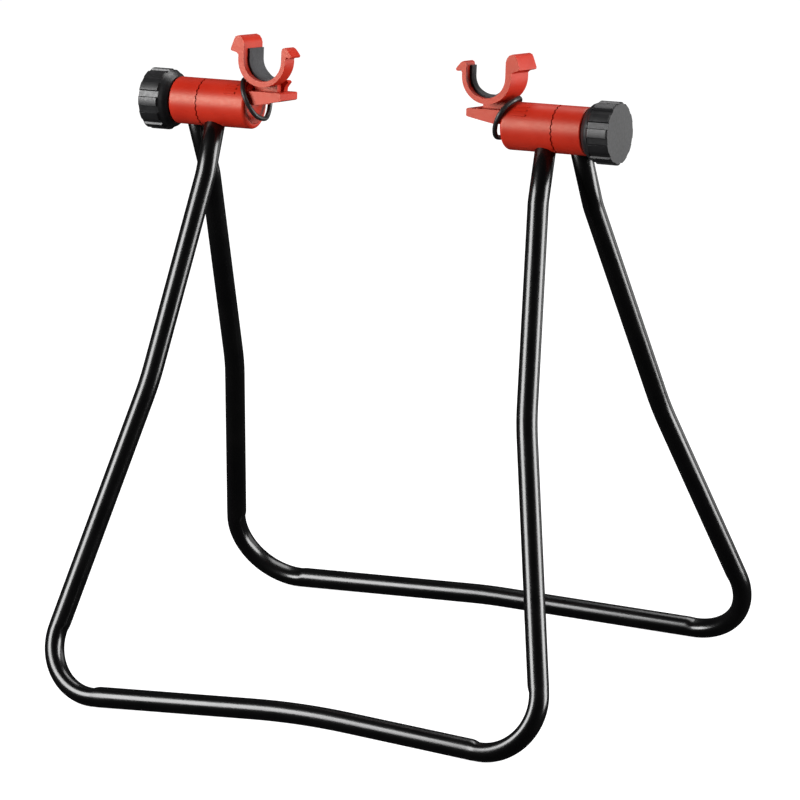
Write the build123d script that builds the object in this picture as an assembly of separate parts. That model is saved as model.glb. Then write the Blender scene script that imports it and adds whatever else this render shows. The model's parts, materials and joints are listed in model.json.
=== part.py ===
from build123d import *
import os
from math import acos, cos, degrees, pi, sin

# Folding repair stand that holds a bicycle's rear wheel off the floor by its two stays or hub ends.
# Frame: +Z up, X along the fold axis, -Y towards the front frame's foot. The origin is on the
# floor, midway between the heads and between the feet of the open stand. Millimetres.

# ---- Tube frames ----
TUBE_R = 7.0
TUBE_WALL = 1.2
AXIS_H = 386.3  # fold axis above the floor
TUBE_OVERRUN = 10.0  # how far a leg runs past the fold axis, inside its barrel

# In-plane path of one half of each frame, as (distance from the middle, distance below the axis).
FRONT_TOP_X = 124.05
FRONT_BEND_A = (125.3, 49.5)
FRONT_BEND_B = (141.9, 194.5)
FRONT_CORNER = (190.5, 412.6)
FRONT_CORNER_R = 35.3
FRONT_BAR_RISE = 11.45
FRONT_BAR_PEAK_X = 12.0
FRONT_BAR_R = 590.0

BACK_TOP_X = 144.35
BACK_BEND_A = (145.35, 58.6)
BACK_BEND_B = (165.5, 219.7)
BACK_CORNER = (210.1, 411.86)
BACK_CORNER_R = 41.3
BACK_BAR_RISE = 7.6
BACK_BAR_PEAK_X = -4.0
BACK_BAR_R = 337.0

BEND_A_R = 60.0
BEND_B_R = 200.0

# ---- Heads: distances out from the middle plane along the fold axis ----
BARREL_R = 16.0
BARREL_IN = 95.6
BARREL_OUT = 154.5
BARREL_IN_FILLET = 2.6
BARREL_OUT_FILLET = 1.0
SPLIT = 133.4  # middle of the toothed split between the halves
TEETH = 24
TOOTH_HEIGHT = 0.8
TOOTH_GAP = 0.12  # between the crests of the two halves, as they stand apart to turn
TOOTH_RING_R = 10.5  # inside this radius the split faces are plain
BOLT_CLEAR_R = 4.3

FLANGE_R = 12.1
FLANGE_THICK = 2.8
BOSS_R = 10.0
BOSS_OUT = 107.6
BOSS_FIT = 0.05
RECESS_R = 12.4
HOOK_WASHER_THICK = 0.8

RIB_IN = 104.5
RIB_LENGTH = 9.0
RIB_WIDTH = 1.5
RIB_PROUD = 0.6
RIB_ANGLES = (38.0, 51.0, 64.0)  # above the horizontal, on the front

# ---- Clamping hardware ----
BOLT_R = 4.0
BOLT_END = 172.0
HEX_FLATS = 13.0
HEAD_IN = 99.0
HEAD_HEIGHT = 5.3
NUT_IN = 157.0
NUT_HEIGHT = 6.5
THREAD_FIT = 0.05
THRUST_R = 11.0
THRUST_THICK = 1.6
THRUST_SUNK = 0.9
SPRING_IN_R = 4.5
SPRING_OUT_R = 8.2
SPRING_THICK = 0.6
SPRING_RISE = 1.1
SPRING_POCKET_R = 8.6
SPRING_POCKET_OUT = 136.4

# ---- Knob ----
KNOB_IN = 155.3
KNOB_RIM = 161.0
KNOB_OUT = 176.0
KNOB_NECK_R = 16.2
KNOB_R = 20.8
KNOB_CHAMFER = 0.9
FLUTES = 12
FLUTE_DEPTH = 1.4
FLUTE_WIDTH = 5.4
KNOB_PHASE = {"left": 4.0, "right": 9.0}  # a land's angle above the front horizontal

# ---- Hook: u is the distance out from the middle plane, w the height above the fold axis ----
HOOK_TILT = 6.5  # how far the hook leans back, turned about the fold axis; its sizes are upright
SEAT_U = 83.8
SEAT_W = 31.85
SEAT_R = 14.3
BOWL_U = 84.4  # the outside of the hook is struck from here, so the near arm is the thicker one
BOWL_R = 18.0
HOOK_FRONT = -13.9
HOOK_BACK = 11.7
FAR_ARM_BACK = -1.0
NEAR_TIP = ((98.1, 42.2), (98.8, 44.6), (100.4, 46.7), (102.9, 47.7), (105.0, 46.8), (106.0, 44.8))
NEAR_LIP = ((108.3, 38.7), (108.2, 37.5), (107.2, 37.0), (103.9, 36.2), (102.4, 34.9))
FAR_TIP = ((69.5, 38.5), (68.9, 40.5), (67.4, 41.3), (65.6, 40.5), (63.4, 38.1))
FAR_LIP = ((61.8, 35.9), (62.2, 34.8), (63.4, 34.4), (65.4, 35.1), (66.4, 33.7))
BACK_SLANT = ((73.5, -1.0), (80.5, 1.8), (85.0, 8.5), (92.0, 11.7))  # (u, y) along the hook's back
TONGUE = ((69.8, 5.5), (69.8, 9.8), (70.5, 10.5), (94.6, 10.5), (91.2, 1.1), (80.0, 3.1), (71.0, 4.9))
TONGUE_FRONT = -12.6
TONGUE_BACK = 10.9
WEB = ((77.5, 8.9), (77.5, 18.3), (84.0, 18.3), (96.0, 18.4), (94.0, 8.9))
WEB_FRONT = -3.5
WEB_BACK = 7.7
SPUR = ((77.8, 8.9), (75.7, 8.9), (75.2, 13.3), (72.4, 17.1), (73.6, 18.3), (77.8, 18.3))
SPUR_FRONT = 2.5
NECK_IN = 89.0
NECK_HALF = 8.0
NECK_BOTTOM = 1.0
NECK_TOP = 9.0
PAD_THICK = 1.6
PAD_FRONT = -8.6
PAD_TOP_W = 39.0
PAD_INSET = 0.6

# ---- Retaining ring: the points its cord runs through, as (u, y, w) ----
RING_CORD_R = 1.65
RING_LOOP = (
    (89.0, -5.0, -7.4),
    (90.8, -11.8, -2.6),
    (92.9, -14.6, 3.1),
    (96.6, -14.4, 10.8),
    (99.6, -9.8, 15.6),
    (102.0, -3.0, 18.0),
    (100.9, 4.4, 17.7),
    (98.9, 9.6, 15.4),
    (95.6, 13.2, 12.6),
    (92.6, 14.2, 6.0),
    (91.6, 12.6, -1.5),
    (90.0, 5.0, -8.2),
)


def on_axis(u_in, u_out, radius):
    """Cylinder on the fold axis between two distances from the middle plane."""
    place = Pos((u_in + u_out) / 2, 0, AXIS_H) * Rot(0, 90, 0)
    return place * Cylinder(radius, u_out - u_in)


def hexagon_on_axis(u_in, u_out):
    """Hexagonal prism on the fold axis, two of its flats level."""
    outline = RegularPolygon(HEX_FLATS / 2, 6, major_radius=False)
    place = Pos(u_in, 0, AXIS_H) * Rot(0, 90, 0)
    return extrude(place * outline, u_out - u_in, dir=(1, 0, 0))


def around_axis(outline):
    """Turns a list of (u, radius) points round the fold axis."""
    section = make_face(Polyline(*outline, close=True))
    return Pos(0, 0, AXIS_H) * revolve(section, Axis.X, 360)


def hook_prism(outline, y_front, y_back):
    """Extrudes a face drawn in (u, w) from front to back."""
    place = Plane(origin=(0, y_front, AXIS_H), x_dir=(1, 0, 0), z_dir=(0, -1, 0))
    return extrude(place * outline, y_back - y_front, dir=(0, 1, 0))


def polygon(*points):
    return make_face(Polyline(*points, close=True))


# ---- Frames ----
def frame_path(top_x, bend_a, bend_b, corner, corner_r, rise, peak_x, bar_r):
    """Centre line of a frame in its own plane, y measured down from the axis as negative."""
    half = [(top_x, TUBE_OVERRUN), *((x, -s) for x, s in (bend_a, bend_b, corner))]
    points = [*half, (peak_x, rise - corner[1]), *((-x, y) for x, y in reversed(half))]
    radii = [BEND_A_R, BEND_B_R, corner_r, bar_r, corner_r, BEND_B_R, BEND_A_R]
    return FilletPolyline(*points, radius=radii)


def frame_plane(path, side):
    """Plane through the fold axis that sets the frame's foot on the floor; side is -1 in front."""
    reach = -path.bounding_box().min.Y
    lean = acos((AXIS_H - TUBE_R) / reach)
    print("reach", round(reach, 3), "lean", round(degrees(lean), 3))
    return Plane(
        origin=(0, 0, AXIS_H),
        x_dir=(1, 0, 0),
        z_dir=(0, -cos(lean), -side * sin(lean)),
    )


def swept(path, radius):
    start = Plane(origin=path @ 0, z_dir=path % 0)
    return sweep(start * Circle(radius), path=path)


def make_frame(path, side):
    """The hollow tube frame, and the solid bar of its outside that its sockets are cut with."""
    placed = frame_plane(path, side) * path
    outside = swept(placed, TUBE_R)
    bolt_holes = on_axis(-BARREL_OUT, BARREL_OUT, BOLT_CLEAR_R)
    return outside - swept(placed, TUBE_R - TUBE_WALL) - bolt_holes, outside


# ---- Barrels ----
def tooth_cuts(first_deg, sign):
    """V grooves of the face teeth. sign is +1 for grooves that open outwards along the axis."""
    crest = SPLIT - sign * TOOTH_GAP / 2
    half_width = BARREL_R * sin(pi / TEETH) * 1.02
    outline = polygon(
        (crest + sign, -half_width * (1 + 1 / TOOTH_HEIGHT)),
        (crest - sign * TOOTH_HEIGHT, 0),
        (crest + sign, half_width * (1 + 1 / TOOTH_HEIGHT)),
    )
    groove = extrude(outline, BARREL_R + 2)
    pitch = 360 / TEETH
    turns = [Rot(first_deg + k * pitch, 0, 0) for k in range(TEETH)]
    return Pos(0, 0, AXIS_H) * Compound(children=[turn * groove for turn in turns])


def make_ribs():
    """Three low ribs on the upper front of the barrel, which index the hook by eye."""
    ribs = []
    for angle in RIB_ANGLES:
        bar = Box(RIB_LENGTH, BARREL_R + RIB_PROUD, RIB_WIDTH)
        bar = fillet(bar.edges().filter_by(Axis.Y), RIB_WIDTH * 0.45)
        bar = Pos(RIB_IN + RIB_LENGTH / 2, -(BARREL_R + RIB_PROUD) / 2, 0) * bar
        ribs.append(Pos(0, 0, AXIS_H) * Rot(-angle, 0, 0) * bar)
    return ribs


def make_inner_barrel(front_bar):
    crest = SPLIT - TOOTH_GAP / 2
    body = on_axis(BARREL_IN, crest, BARREL_R)
    body = fillet(body.edges().sort_by(Axis.X)[0], BARREL_IN_FILLET)
    for rib in make_ribs():
        body += rib
    floor = BARREL_IN + FLANGE_THICK + HOOK_WASHER_THICK
    body -= on_axis(BARREL_IN - 1, floor, RECESS_R)
    body -= on_axis(BARREL_IN - 1, BOSS_OUT + 0.4, BOSS_R + BOSS_FIT)
    body -= on_axis(BARREL_IN - 1, SPLIT + 1, BOLT_CLEAR_R)
    body -= on_axis(crest - TOOTH_HEIGHT, SPLIT + 1, TOOTH_RING_R)
    body -= tooth_cuts(0, 1)
    return body - front_bar


def make_outer_barrel(back_bar):
    crest = SPLIT + TOOTH_GAP / 2
    body = on_axis(crest, BARREL_OUT, BARREL_R)
    body = fillet(body.edges().sort_by(Axis.X)[-1], BARREL_OUT_FILLET)
    body -= on_axis(SPLIT - 1, BARREL_OUT + 1, BOLT_CLEAR_R)
    body -= on_axis(BARREL_OUT - THRUST_SUNK, BARREL_OUT + 1, THRUST_R + 0.3)
    body -= on_axis(SPLIT - 1, SPRING_POCKET_OUT, SPRING_POCKET_R)
    body -= on_axis(SPLIT - 1, crest + TOOTH_HEIGHT, TOOTH_RING_R)
    body -= tooth_cuts(180 / TEETH, -1)
    return body - back_bar


# ---- Hardware ----
def make_bolt():
    head = hexagon_on_axis(HEAD_IN, HEAD_IN + HEAD_HEIGHT)
    return head + on_axis(HEAD_IN + HEAD_HEIGHT, BOLT_END, BOLT_R)


def make_nut():
    nut = hexagon_on_axis(NUT_IN, NUT_IN + NUT_HEIGHT)
    return nut - on_axis(NUT_IN - 1, NUT_IN + NUT_HEIGHT + 1, BOLT_R + THREAD_FIT)


def make_thrust_washer():
    face = BARREL_OUT - THRUST_SUNK + 0.02
    ring = on_axis(face, face + THRUST_THICK, THRUST_R)
    return ring - on_axis(face - 1, face + THRUST_THICK + 1, BOLT_CLEAR_R)


def make_hook_washer():
    inner = BARREL_IN + FLANGE_THICK
    ring = on_axis(inner, inner + HOOK_WASHER_THICK, RECESS_R)
    return ring - on_axis(inner - 1, inner + HOOK_WASHER_THICK + 1, BOSS_R + 0.3)


def make_disc_springs():
    """Two coned washers, rim to rim, standing between the halves' plain faces."""
    middle = SPLIT - TOOTH_GAP / 2 - TOOTH_HEIGHT + SPRING_THICK + SPRING_RISE + 0.02
    discs = []
    for base, way in ((middle, -1), (middle + 0.03, 1)):
        tip = base + way * SPRING_RISE
        discs.append(
            around_axis(
                [
                    (base, SPRING_OUT_R),
                    (base + way * SPRING_THICK, SPRING_OUT_R),
                    (tip + way * SPRING_THICK, SPRING_IN_R),
                    (tip, SPRING_IN_R),
                ]
            )
        )
    return Compound(children=discs)


# ---- Knob ----
def make_knob(phase_deg):
    rim = KNOB_R - FLUTE_DEPTH
    body = around_axis(
        [
            (KNOB_IN, 0),
            (KNOB_IN, KNOB_NECK_R),
            (KNOB_RIM - 3.0, 18.6),
            (KNOB_RIM, rim + 0.4),
            (KNOB_RIM + 0.8, KNOB_R),
            (KNOB_OUT - KNOB_CHAMFER, KNOB_R),
            (KNOB_OUT, KNOB_R - KNOB_CHAMFER),
            (KNOB_OUT, 0),
        ]
    )
    slope = 0.7
    groove = polygon(
        (-FLUTE_WIDTH / 2 + slope, -rim),
        (FLUTE_WIDTH / 2 - slope, -rim),
        (FLUTE_WIDTH / 2 + slope, -rim - 2 * FLUTE_DEPTH),
        (-FLUTE_WIDTH / 2 - slope, -rim - 2 * FLUTE_DEPTH),
    )
    # The groove's outline lies across the axis: its local x is up, its local y is back.
    across = Plane(origin=(KNOB_RIM, 0, 0), x_dir=(0, 0, 1), z_dir=(-1, 0, 0))
    cutter = extrude(across * groove, KNOB_OUT - KNOB_RIM + 1, dir=(1, 0, 0))
    step = 360 / FLUTES
    cutters = [Rot(-(phase_deg + (k + 0.5) * step), 0, 0) * cutter for k in range(FLUTES)]
    body -= Pos(0, 0, AXIS_H) * Compound(children=cutters)
    body -= on_axis(KNOB_IN - 1, BOLT_END + 1.5, BOLT_CLEAR_R)
    return body - hexagon_on_axis(KNOB_IN - 1, NUT_IN + NUT_HEIGHT)


# ---- Hook ----
def tilted(piece):
    """A piece drawn upright, turned with the hook about the fold axis."""
    return Pos(0, 0, AXIS_H) * Rot(-HOOK_TILT, 0, 0) * Pos(0, 0, -AXIS_H) * piece


def back_cut(inset):
    """What the hook's slanted back leaves out, from the near arm's depth to the narrow far arm."""
    low_u = SEAT_U - 2 * SEAT_R
    beyond = HOOK_BACK + 5
    line = [(u, y - inset) for u, y in ((low_u, FAR_ARM_BACK), *BACK_SLANT)]
    high_u = SEAT_U + 2 * SEAT_R
    outline = polygon(*line, (high_u, HOOK_BACK - inset), (high_u, beyond), (low_u, beyond))
    return Pos(0, 0, AXIS_H) * extrude(outline, SEAT_W + 2 * SEAT_R)


def make_hook(bolt):
    low = SEAT_W - 1
    inside = SEAT_R - 3
    bowl = Pos(BOWL_U, SEAT_W) * Circle(BOWL_R)
    bowl -= Pos(BOWL_U, SEAT_W + BOWL_R) * Rectangle(3 * BOWL_R, 2 * BOWL_R)
    near_arm = polygon((SEAT_U + inside, low), *NEAR_TIP, *NEAR_LIP, (BOWL_U + BOWL_R, low))
    far_arm = polygon((SEAT_U - inside, low), *FAR_TIP, *FAR_LIP, (BOWL_U - BOWL_R, low))
    slot = Pos(SEAT_U, SEAT_W) * Circle(SEAT_R)
    slot += Pos(SEAT_U, SEAT_W + BOWL_R) * Rectangle(2 * SEAT_R, 2 * BOWL_R)
    clasp = hook_prism(bowl + near_arm + far_arm - slot, HOOK_FRONT, HOOK_BACK) - back_cut(0)
    web = hook_prism(polygon(*WEB), WEB_FRONT, WEB_BACK)
    web += hook_prism(polygon(*SPUR), SPUR_FRONT, WEB_BACK)
    web -= hook_prism(slot, HOOK_FRONT - 1, HOOK_BACK + 1)
    tongue = hook_prism(polygon(*TONGUE), TONGUE_FRONT, TONGUE_BACK)
    neck_out = BARREL_IN + 1
    middle = Pos((NECK_IN + neck_out) / 2, (NECK_BOTTOM + NECK_TOP) / 2)
    neck = middle * Rectangle(neck_out - NECK_IN, NECK_TOP - NECK_BOTTOM)
    neck = hook_prism(neck, -NECK_HALF, NECK_HALF)
    flange = on_axis(BARREL_IN, BARREL_IN + FLANGE_THICK, FLANGE_R)
    boss = on_axis(BARREL_IN, BOSS_OUT, BOSS_R)
    return tilted(clasp + web + tongue + neck + flange + boss - bolt)


def make_pad():
    """Rubber lining of the hook, set back from the front rim and cut to the same slant."""
    band = Pos(SEAT_U, SEAT_W) * Circle(SEAT_R)
    band += Pos(SEAT_U, (SEAT_W + PAD_TOP_W) / 2) * Rectangle(2 * SEAT_R, PAD_TOP_W - SEAT_W)
    clear = SEAT_R - PAD_THICK
    band -= Pos(SEAT_U, SEAT_W) * Circle(clear)
    band -= Pos(SEAT_U, SEAT_W + SEAT_R) * Rectangle(2 * clear, 2 * SEAT_R)
    # The lining covers the far arm only up to the start of its rounded tip.
    band -= Pos(SEAT_U - SEAT_R, FAR_TIP[0][1] + SEAT_R) * Rectangle(2 * PAD_THICK, 2 * SEAT_R)
    return tilted(hook_prism(band, PAD_FRONT, HOOK_BACK) - back_cut(PAD_INSET))


def make_ring(way):
    """The elastic ring of one head; way is 1 on the right and -1 on the left."""
    loop = Spline(*((way * u, y, AXIS_H + w) for u, y, w in RING_LOOP), periodic=True)
    first, second = (swept(loop.trim(*ends), RING_CORD_R) for ends in ((0, 0.5), (0.5, 1)))
    return first + second


# ---- Assembly ----
def head_pieces(phase_deg, front_bar, back_bar):
    """The pieces of the right-hand head, by name."""
    bolt = make_bolt()
    return {
        "inner_barrel": make_inner_barrel(front_bar),
        "outer_barrel": make_outer_barrel(back_bar),
        "knob": make_knob(phase_deg),
        "knob_nut": make_nut(),
        "clamp_bolt": tilted(bolt),
        "thrust_washer": make_thrust_washer(),
        "hook_washer": make_hook_washer(),
        "disc_springs": make_disc_springs(),
        "hook": make_hook(bolt),
        "hook_pad": make_pad(),
    }


front_path = frame_path(
    FRONT_TOP_X, FRONT_BEND_A, FRONT_BEND_B, FRONT_CORNER, FRONT_CORNER_R,
    FRONT_BAR_RISE, FRONT_BAR_PEAK_X, FRONT_BAR_R,
)
back_path = frame_path(
    BACK_TOP_X, BACK_BEND_A, BACK_BEND_B, BACK_CORNER, BACK_CORNER_R,
    BACK_BAR_RISE, BACK_BAR_PEAK_X, BACK_BAR_R,
)
front_tube, front_bar = make_frame(front_path, -1)
back_tube, back_bar = make_frame(back_path, 1)
parts = {"front_frame_tube": front_tube, "back_frame_tube": back_tube}
for side, phase in KNOB_PHASE.items():
    for name, piece in head_pieces(phase, front_bar, back_bar).items():
        if side == "left":
            piece = mirror(piece, about=Plane.YZ)
        parts[f"{side}_{name}"] = piece
parts["left_retaining_ring"] = make_ring(-1)
parts["right_retaining_ring"] = make_ring(1)

os.makedirs("parts", exist_ok=True)
for name, piece in parts.items():
    export_step(piece, f"parts/{name}.step")
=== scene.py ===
import json
import math

import bmesh
import bpy
from mathutils import Matrix, Vector


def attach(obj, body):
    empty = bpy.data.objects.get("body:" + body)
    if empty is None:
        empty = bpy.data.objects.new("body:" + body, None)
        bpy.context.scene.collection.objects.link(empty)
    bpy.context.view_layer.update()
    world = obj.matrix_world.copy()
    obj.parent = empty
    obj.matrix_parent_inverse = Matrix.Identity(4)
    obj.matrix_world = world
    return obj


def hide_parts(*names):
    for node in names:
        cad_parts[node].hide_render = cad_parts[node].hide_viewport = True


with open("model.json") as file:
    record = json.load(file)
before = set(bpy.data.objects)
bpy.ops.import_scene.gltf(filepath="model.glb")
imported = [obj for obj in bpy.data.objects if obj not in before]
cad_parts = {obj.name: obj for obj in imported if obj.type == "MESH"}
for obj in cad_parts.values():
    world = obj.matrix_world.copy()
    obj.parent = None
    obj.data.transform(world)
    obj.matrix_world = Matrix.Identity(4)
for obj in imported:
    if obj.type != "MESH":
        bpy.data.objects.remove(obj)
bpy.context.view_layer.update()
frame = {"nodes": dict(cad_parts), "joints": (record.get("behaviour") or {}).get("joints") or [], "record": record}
nodes = frame["nodes"]
scene = bpy.context.scene
MM = 0.001
SIDES = ("left", "right")
AXIS_H = next(j for j in frame["joints"] if j["name"] == "frame_fold")["pos_m"][2]

# ---- Camera: where it stands relative to the fold axis ----
CAMERA_YAW = 27.91
CAMERA_ELEVATION = 13.97
CAMERA_ROLL = -1.154
CAMERA_DISTANCE = 3.3104
CAMERA_LENS = 220.65
CAMERA_AIM = (0.01014, 0.0, 0.19171)


def make_camera():
    yaw = math.radians(CAMERA_YAW)
    elevation = math.radians(CAMERA_ELEVATION)
    roll = math.radians(CAMERA_ROLL)
    level = math.cos(elevation)
    back = Vector((math.sin(yaw) * level, -math.cos(yaw) * level, math.sin(elevation)))
    right = Vector((math.cos(yaw), math.sin(yaw), 0))
    up = back.cross(right)
    right_rolled = right * math.cos(roll) + up * math.sin(roll)
    up_rolled = up * math.cos(roll) - right * math.sin(roll)
    data = bpy.data.cameras.new("camera")
    data.lens = CAMERA_LENS
    data.clip_end = 100
    camera = bpy.data.objects.new("camera", data)
    scene.collection.objects.link(camera)
    turn = Matrix((right_rolled, up_rolled, back)).transposed()
    camera.matrix_world = Matrix.Translation(Vector(CAMERA_AIM) + back * CAMERA_DISTANCE) @ turn.to_4x4()
    scene.camera = camera


make_camera()


# ---- Stage and light ----
FLOOR_RADIUS = 14
FLOOR_DROP = 0.0002  # keeps the floor just clear of the tubes that rest on it
FLOOR_GREY = (0.28, 0.28, 0.28, 1)
FLOOR_GLOW = 0.97  # what the camera sees; nothing else is lit by it
ROOM_GREY = (0.024, 0.024, 0.025, 1)
WHITE = (1, 1, 1, 1)
HEAD = (0, 0, 0.3)  # what the lights are aimed at


def area_light(name, place, size, power):
    data = bpy.data.lights.new(name, "AREA")
    data.shape = "RECTANGLE"
    data.size, data.size_y = size
    data.energy = power
    light = bpy.data.objects.new(name, data)
    scene.collection.objects.link(light)
    light.location = place
    light.rotation_euler = (Vector(HEAD) - Vector(place)).to_track_quat("-Z", "Y").to_euler()
    light.visible_camera = False


def around(azimuth, distance, height):
    """A place at an azimuth from the front (-Y), positive towards +X, at a distance from the middle."""
    a = math.radians(azimuth)
    return (math.sin(a) * distance, -math.cos(a) * distance, height)


def make_stage():
    place = (0, 0, -FLOOR_DROP)
    bpy.ops.mesh.primitive_circle_add(vertices=96, radius=FLOOR_RADIUS, fill_type="NGON", location=place)
    floor = bpy.context.object
    floor.name = "floor"
    material = bpy.data.materials.new("pale_floor")
    material.use_nodes = True
    tree = material.node_tree
    tree.nodes.clear()
    diffuse = tree.nodes.new("ShaderNodeBsdfDiffuse")
    diffuse.inputs["Color"].default_value = FLOOR_GREY
    glow = tree.nodes.new("ShaderNodeEmission")
    seen = tree.nodes.new("ShaderNodeLightPath")
    strength = tree.nodes.new("ShaderNodeMapRange")
    strength.inputs["To Min"].default_value = 0.0
    strength.inputs["To Max"].default_value = FLOOR_GLOW
    tree.links.new(seen.outputs["Is Camera Ray"], strength.inputs["Value"])
    tree.links.new(strength.outputs[0], glow.inputs["Strength"])
    both = tree.nodes.new("ShaderNodeAddShader")
    out = tree.nodes.new("ShaderNodeOutputMaterial")
    tree.links.new(diffuse.outputs[0], both.inputs[0])
    tree.links.new(glow.outputs[0], both.inputs[1])
    tree.links.new(both.outputs[0], out.inputs["Surface"])
    floor.data.materials.append(material)
    floor.visible_glossy = False


def make_world():
    """White to the eye, dim to the surfaces, so that gloss paint mirrors the softboxes alone."""
    world = bpy.data.worlds.new("studio")
    world.use_nodes = True
    scene.world = world
    tree = world.node_tree
    background = tree.nodes["Background"]
    path = tree.nodes.new("ShaderNodeLightPath")
    mix = tree.nodes.new("ShaderNodeMix")
    mix.data_type = "RGBA"
    mix.inputs["A"].default_value = ROOM_GREY
    mix.inputs["B"].default_value = WHITE
    tree.links.new(path.outputs["Is Camera Ray"], mix.inputs["Factor"])
    tree.links.new(mix.outputs["Result"], background.inputs["Color"])


make_stage()
make_world()
area_light("key_softbox", around(-38, 1.85, 0.92), (1.05, 1.15), 57)
area_light("edge_strip", around(110, 1.9, 0.55), (0.95, 1.6), 62)
area_light("low_fill", around(150, 1.3, 0.32), (0.6, 0.6), 1.6)
area_light("top_softbox", (0.1, 0.95, 1.9), (1.4, 1.0), 24)
scene.view_settings.view_transform = "Standard"


# ---- Materials ----
class Shader:
    """A Principled material with helpers for noise, ramps and bumps in the piece's own space."""

    def __init__(self, name):
        self.material = bpy.data.materials.new(name)
        self.material.use_nodes = True
        self.tree = self.material.node_tree
        self.surface = self.tree.nodes["Principled BSDF"]
        self.coords = self.tree.nodes.new("ShaderNodeTexCoord").outputs["Object"]

    def set(self, **values):
        for socket, value in values.items():
            self.surface.inputs[socket.replace("_", " ")].default_value = value

    def link(self, output, socket):
        self.tree.links.new(output, socket)

    def noise(self, scale, detail=3, stretch=(1, 1, 1)):
        mapping = self.tree.nodes.new("ShaderNodeMapping")
        mapping.inputs["Scale"].default_value = stretch
        self.link(self.coords, mapping.inputs["Vector"])
        noise = self.tree.nodes.new("ShaderNodeTexNoise")
        noise.inputs["Scale"].default_value = scale
        noise.inputs["Detail"].default_value = detail
        self.link(mapping.outputs[0], noise.inputs["Vector"])
        return noise.outputs["Fac"]

    def ramp(self, factor, stops):
        """Maps a factor through (position, colour or grey) stops."""
        ramp = self.tree.nodes.new("ShaderNodeValToRGB")
        band = ramp.color_ramp
        while len(band.elements) < len(stops):
            band.elements.new(0.5)
        for element, (place, value) in zip(band.elements, stops):
            element.position = place
            grey = isinstance(value, (int, float))
            element.color = (value, value, value, 1) if grey else (*value, 1)
        self.link(factor, ramp.inputs["Fac"])
        return ramp.outputs["Color"]

    def to(self, socket, output):
        self.link(output, self.surface.inputs[socket])

    def bump(self, height, strength, distance):
        node = self.tree.nodes.new("ShaderNodeBump")
        node.inputs["Strength"].default_value = strength
        node.inputs["Distance"].default_value = distance
        self.link(height, node.inputs["Height"])
        self.to("Normal", node.outputs["Normal"])


def black_paint():
    s = Shader("gloss_black_paint")
    s.set(Specular_IOR_Level=0.55)
    shades = [(0.3, (0.0010, 0.0010, 0.0011)), (0.7, (0.0021, 0.0020, 0.0020))]
    s.to("Base Color", s.ramp(s.noise(30), shades))
    s.to("Roughness", s.ramp(s.noise(60, 3), [(0.35, 0.22), (0.65, 0.26)]))
    s.bump(s.noise(260, 2), 0.05, 0.0002)
    return s.material


def red_plastic():
    s = Shader("red_moulded_plastic")
    s.set(Specular_IOR_Level=0.42, Specular_Tint=(1.0, 0.86, 0.68, 1.0))
    s.to("Base Color", s.ramp(s.noise(45, 4), [(0.3, (0.39, 0.013, 0.004)), (0.7, (0.46, 0.019, 0.006))]))
    s.to("Roughness", s.ramp(s.noise(500, 3), [(0.3, 0.36), (0.7, 0.46)]))
    s.bump(s.noise(1500, 3), 0.16, 0.0001)
    return s.material


def black_plastic():
    s = Shader("black_moulded_plastic")
    s.to("Base Color", s.ramp(s.noise(60, 4), [(0.3, (0.006, 0.006, 0.0065)), (0.7, (0.012, 0.012, 0.013))]))
    s.to("Roughness", s.ramp(s.noise(500, 3), [(0.3, 0.34), (0.7, 0.46)]))
    s.bump(s.noise(2000, 3), 0.22, 0.0001)
    return s.material


def black_rubber():
    s = Shader("black_rubber")
    s.to("Base Color", s.ramp(s.noise(90, 4), [(0.3, (0.008, 0.008, 0.008)), (0.7, (0.016, 0.015, 0.015))]))
    s.to("Roughness", s.ramp(s.noise(500, 3), [(0.3, 0.34), (0.7, 0.52)]))
    s.bump(s.noise(1800, 3), 0.2, 0.0001)
    return s.material


def lining_rubber():
    s = Shader("lining_rubber")
    s.to("Base Color", s.ramp(s.noise(120, 4), [(0.3, (0.018, 0.018, 0.020)), (0.7, (0.032, 0.032, 0.035))]))
    s.to("Roughness", s.ramp(s.noise(700, 3), [(0.3, 0.62), (0.7, 0.8)]))
    s.bump(s.noise(2200, 4), 0.35, 0.00015)
    return s.material


def zinc_steel():
    s = Shader("zinc_plated_steel")
    s.set(Metallic=1.0)
    s.to("Base Color", s.ramp(s.noise(150, 5), [(0.3, (0.50, 0.51, 0.53)), (0.7, (0.66, 0.66, 0.64))]))
    s.to("Roughness", s.ramp(s.noise(400, 4, stretch=(1, 8, 8)), [(0.3, 0.25), (0.7, 0.42)]))
    s.bump(s.noise(900, 3), 0.12, 0.0001)
    return s.material


def white_nylon():
    s = Shader("white_nylon")
    s.to("Base Color", s.ramp(s.noise(200, 3), [(0.3, (0.70, 0.70, 0.66)), (0.7, (0.80, 0.80, 0.76))]))
    s.to("Roughness", s.ramp(s.noise(500, 3), [(0.3, 0.4), (0.7, 0.55)]))
    s.bump(s.noise(1600, 3), 0.15, 0.0001)
    return s.material


MATERIALS = {
    "black_paint": black_paint(),
    "red_plastic": red_plastic(),
    "black_plastic": black_plastic(),
    "black_rubber": black_rubber(),
    "rubber_lining": lining_rubber(),
    "zinc_steel": zinc_steel(),
    "white_nylon": white_nylon(),
}


def finish_cad_nodes():
    """Gives every CAD node the material of its slot."""
    for part in frame["record"]["subparts"]:
        node = nodes[part["node"]]
        node.data.materials.clear()
        node.data.materials.append(MATERIALS[part["material_slot"]])


finish_cad_nodes()


# ---- Bent tubes, in millimetres ----
TUBE_R = 7.0
TUBE_SEGMENTS = 56
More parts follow.
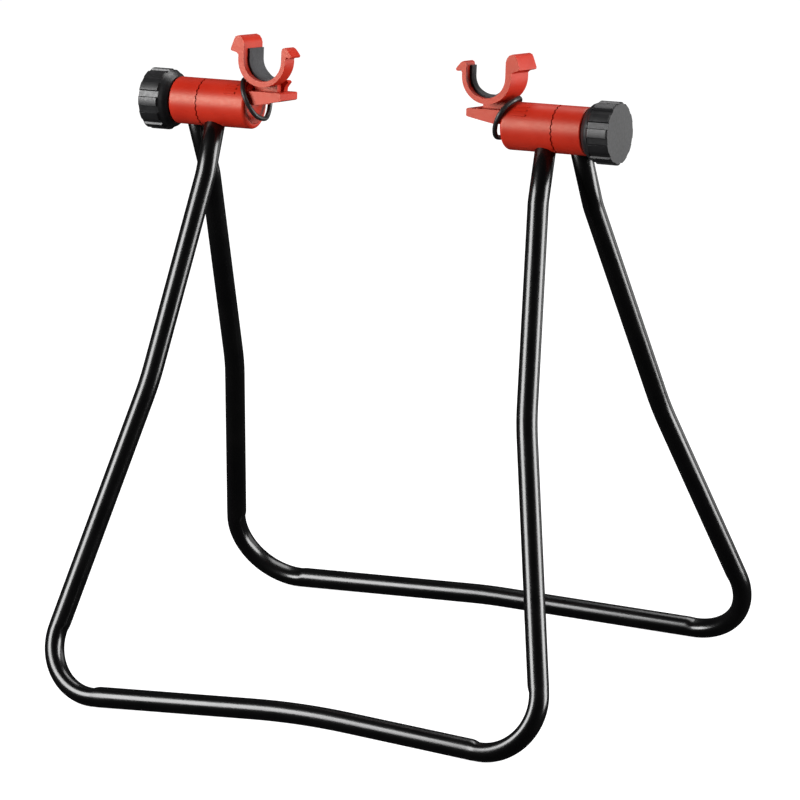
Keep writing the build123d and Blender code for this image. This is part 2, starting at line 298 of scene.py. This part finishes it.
# Half of each frame's line: (distance from the middle, distance below the fold axis, bend radius).
FRONT_HALF = [(124.05, -10, 0), (125.3, 49.5, 60), (141.9, 194.5, 200), (190.5, 412.6, 35.3)]
FRONT_PEAK = (12.0, 401.15, 590)
BACK_HALF = [(144.35, -10, 0), (145.35, 58.6, 60), (165.5, 219.7, 200), (210.1, 411.86, 41.3)]
BACK_PEAK = (-4.0, 404.26, 337)
FRONT_LEAN = -22.321  # degrees from upright, negative towards the front
BACK_LEAN = 22.304
TIGHT_RADIUS = 50  # bends tighter than this are pressed
PRESS_INNER = 0.84  # how far the press flattens the inside and the outside of a tight bend
PRESS_OUTER = 0.98
PRESS_BULGE = 0.03  # how much wider the tube grows across a pressed bend
PRESS_RUN = 5.0  # length over which the pressing fades out along the tube
PRESS_STEPS = 5
BEND_STEP_DEG = 2.0
BEND_STEP_LENGTH = 8


def whole_line(half, peak):
    """A frame's line from one leg over the bar's peak to the mirrored leg."""
    return [*half, peak, *((-x, y, radius) for x, y, radius in reversed(half))]


def centre_line(corners):
    """Samples a polyline with rounded corners: (x, y, inward x, inward y, flattening 0 to 1)."""
    samples = []
    for k, (x, y, radius) in enumerate(corners):
        here = Vector((x, y))
        if radius == 0:
            beside = Vector(corners[1][:2] if k == 0 else corners[-2][:2])
            along = (beside - here).normalized() * (1 if k == 0 else -1)
            samples.append((here, along, Vector((0, 0)), 0.0))
            continue
        coming = (here - Vector(corners[k - 1][:2])).normalized()
        going = (Vector(corners[k + 1][:2]) - here).normalized()
        turn = coming.angle(going)
        setback = radius * math.tan(turn / 2)
        start = here - coming * setback
        side = coming.x * going.y - coming.y * going.x
        inward = Vector((-coming.y, coming.x)) * (1 if side > 0 else -1)
        centre = start + inward * radius
        tight = radius < TIGHT_RADIUS
        if tight:
            for step in range(PRESS_STEPS):
                back = PRESS_RUN * (1 - step / PRESS_STEPS)
                samples.append((start - coming * back, coming, inward, (step / PRESS_STEPS) ** 2))
        steps = max(4, int(math.degrees(turn) / BEND_STEP_DEG), int(turn * radius / BEND_STEP_LENGTH))
        for step in range(steps + 1):
            a = turn * step / steps
            out = -inward * math.cos(a) + coming * math.sin(a)
            along = coming * math.cos(a) + inward * math.sin(a)
            samples.append((centre + out * radius, along, -out, 1.0 if tight else 0.0))
        if tight:
            end = here + going * setback
            last = -out
            for step in range(1, PRESS_STEPS + 1):
                on = end + going * PRESS_RUN * step / PRESS_STEPS
                samples.append((on, going, last, (1 - step / PRESS_STEPS) ** 2))
    return samples


def tube_piece(name, corners, lean_deg, body, node):
    """A closed tube along a frame's line, leaning from the fold axis, in place of its CAD node."""
    lean = math.radians(lean_deg)
    down = Vector((0, math.sin(lean), -math.cos(lean)))
    side = Vector((1, 0, 0))
    across = side.cross(down)
    mesh = bmesh.new()
    rings = []
    for place, along, inward, press in centre_line(corners):
        normal = Vector((-along.y, along.x))
        facing = normal.dot(inward)
        ring = []
        for k in range(TUBE_SEGMENTS):
            a = 2 * math.pi * k / TUBE_SEGMENTS
            u, v = math.cos(a), math.sin(a)
            limit = PRESS_INNER if u * facing > 0 else PRESS_OUTER
            squeeze = 1 - press * (1 - limit) * abs(u) ** 1.5
            bulge = 1 + press * PRESS_BULGE * abs(v) ** 2
            at = place + normal * (u * TUBE_R * squeeze)
            point = side * at.x + down * at.y + across * (v * TUBE_R * bulge)
            ring.append(mesh.verts.new(Vector((0, 0, AXIS_H)) + point * MM))
        rings.append(ring)
    for a, b in zip(rings, rings[1:]):
        for k in range(TUBE_SEGMENTS):
            j = (k + 1) % TUBE_SEGMENTS
            mesh.faces.new((a[k], a[j], b[j], b[k])).smooth = True
    mesh.faces.new(rings[0])
    mesh.faces.new(rings[-1][::-1])
    bmesh.ops.recalc_face_normals(mesh, faces=mesh.faces)
    add_piece(name, mesh, "black_paint", body, node)


def add_piece(name, mesh, slot, body, replaced):
    data = bpy.data.meshes.new(name)
    mesh.to_mesh(data)
    mesh.free()
    piece = bpy.data.objects.new(name, data)
    scene.collection.objects.link(piece)
    data.materials.append(MATERIALS[slot])
    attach(piece, body)
    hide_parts(replaced)


front_line = whole_line(FRONT_HALF, FRONT_PEAK)
back_line = whole_line(BACK_HALF, BACK_PEAK)
tube_piece("front_tube", front_line, FRONT_LEAN, "front_stand", "front_frame_tube")
tube_piece("back_tube", back_line, BACK_LEAN, "back_stand", "back_frame_tube")


# ---- Moulded edges ----
WELD_GAP = 2e-6  # metres
SHARP_ANGLE = math.radians(34)


def soften(node, width):
    """Rounds a CAD node's sharp edges, as a mould leaves them; width in millimetres."""
    piece = nodes[node]
    weld = piece.modifiers.new("weld", "WELD")
    weld.merge_threshold = WELD_GAP
    bevel = piece.modifiers.new("bevel", "BEVEL")
    bevel.width = width * MM
    bevel.segments = 2
    bevel.limit_method = "ANGLE"
    bevel.angle_limit = SHARP_ANGLE
    normals = piece.modifiers.new("normals", "WEIGHTED_NORMAL")
    normals.weight = 60


for side in SIDES:
    soften(f"{side}_hook", 0.55)
    soften(f"{side}_knob", 0.35)
    soften(f"{side}_hook_pad", 0.25)
